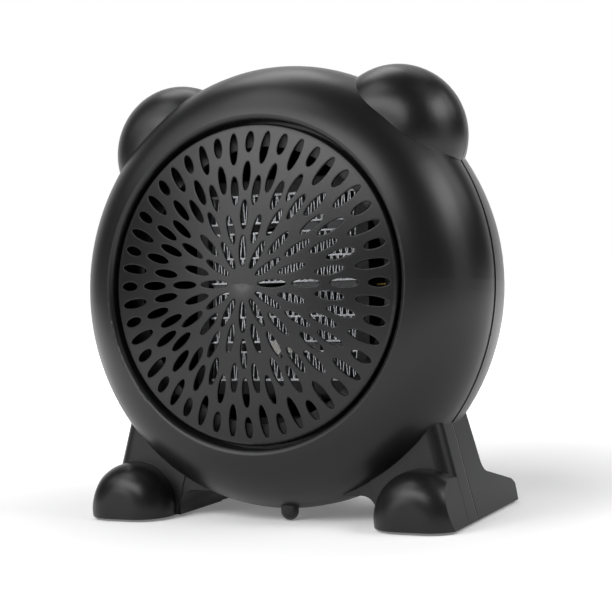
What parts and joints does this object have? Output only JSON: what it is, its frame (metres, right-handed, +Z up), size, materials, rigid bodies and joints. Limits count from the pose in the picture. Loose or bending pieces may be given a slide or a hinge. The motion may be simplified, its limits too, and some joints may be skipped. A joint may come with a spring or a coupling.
{
  "type": "ceramic space heater",
  "caption": "Round table-top fan heater on two paw feet, with ears, a domed slotted grille over a finned ceramic block, and a knob at the back.",
  "frame": {"origin": "on the floor plane, under the middle of the heater's bounding box", "axes": "+Z up, the grille faces -Y and leans back 4.6 degrees, +X to the right as seen from the front"},
  "size_m": [0.1996, 0.1235, 0.203],
  "materials": {
    "housing_black": "fine spark texture, satin",
    "grille_paint": "semi-gloss powder coat on sheet steel",
    "dark_resin": "glass-filled moulding, matte",
    "fin_aluminium": "rolled strip, bright",
    "ptc_ceramic": "fired ceramic, matte",
    "white_ceramic": "fired ceramic, unglazed",
    "brass_strip": "stamped strip",
    "bronze_bush": "sintered, oil filled",
    "copper_wire": "enamelled winding",
    "bobbin_nylon": "natural nylon",
    "lamination_steel": "stacked punched sheet",
    "bracket_diecast": "die cast",
    "zinc_steel": "zinc plated",
    "knob_black": "moulded, satin",
    "pad_rubber": "moulded rubber"
  },
  "bodies": {
    "body": {"front_shell": "housing_black", "rear_shell": "housing_black", "front_grille": "grille_paint", "grille_screws": "zinc_steel", "heater_frame": "dark_resin", "heater_fins": "fin_aluminium", "ptc_plates": "fin_aluminium", "ptc_stones": "ptc_ceramic", "heater_clamps": "fin_aluminium", "heater_terminals": "brass_strip", "heater_screws": "zinc_steel", "thermal_cutout": "white_ceramic", "air_duct": "dark_resin", "duct_screws": "zinc_steel", "motor_strap": "zinc_steel", "strap_screws": "zinc_steel", "motor_brackets": "bracket_diecast", "motor_bushes": "bronze_bush", "motor_stator": "lamination_steel", "motor_coil": "copper_wire", "motor_bobbin": "bobbin_nylon", "motor_screws": "zinc_steel", "tip_spring": "zinc_steel", "tip_switch": "dark_resin", "mode_switch": "dark_resin", "cord_gland": "knob_black", "terminal_block": "bobbin_nylon", "housing_screws": "zinc_steel", "foot_pads": "pad_rubber"},
    "fan": {"fan_wheel": "dark_resin", "wheel_clip": "zinc_steel", "motor_shaft": "zinc_steel", "motor_rotor": "lamination_steel"},
    "knob": {"mode_knob": "knob_black", "mode_spindle": "zinc_steel"},
    "plunger": {"tip_plunger": "dark_resin"}
  },
  "joints": [
    {"name": "fan_spin", "type": "hinge", "parent": "body", "child": "fan", "pos_m": [0, 0.00889, 0.10089], "axis": [0, 0.9968, -0.0802], "continuous": true},
    {"name": "knob_turn", "type": "hinge", "parent": "body", "child": "knob", "pos_m": [0, 0.05392, 0.14943], "axis": [0, 0.9968, -0.0802], "range_deg": [0, 135]},
    {"name": "plunger_slide", "type": "slide", "parent": "body", "child": "plunger", "axis": [0, 0, 1], "range_m": [-0.0035, 0], "stiffness_N_per_m": 60, "springref_m": -0.008, "deforming": ["tip_spring"]}
  ]
}
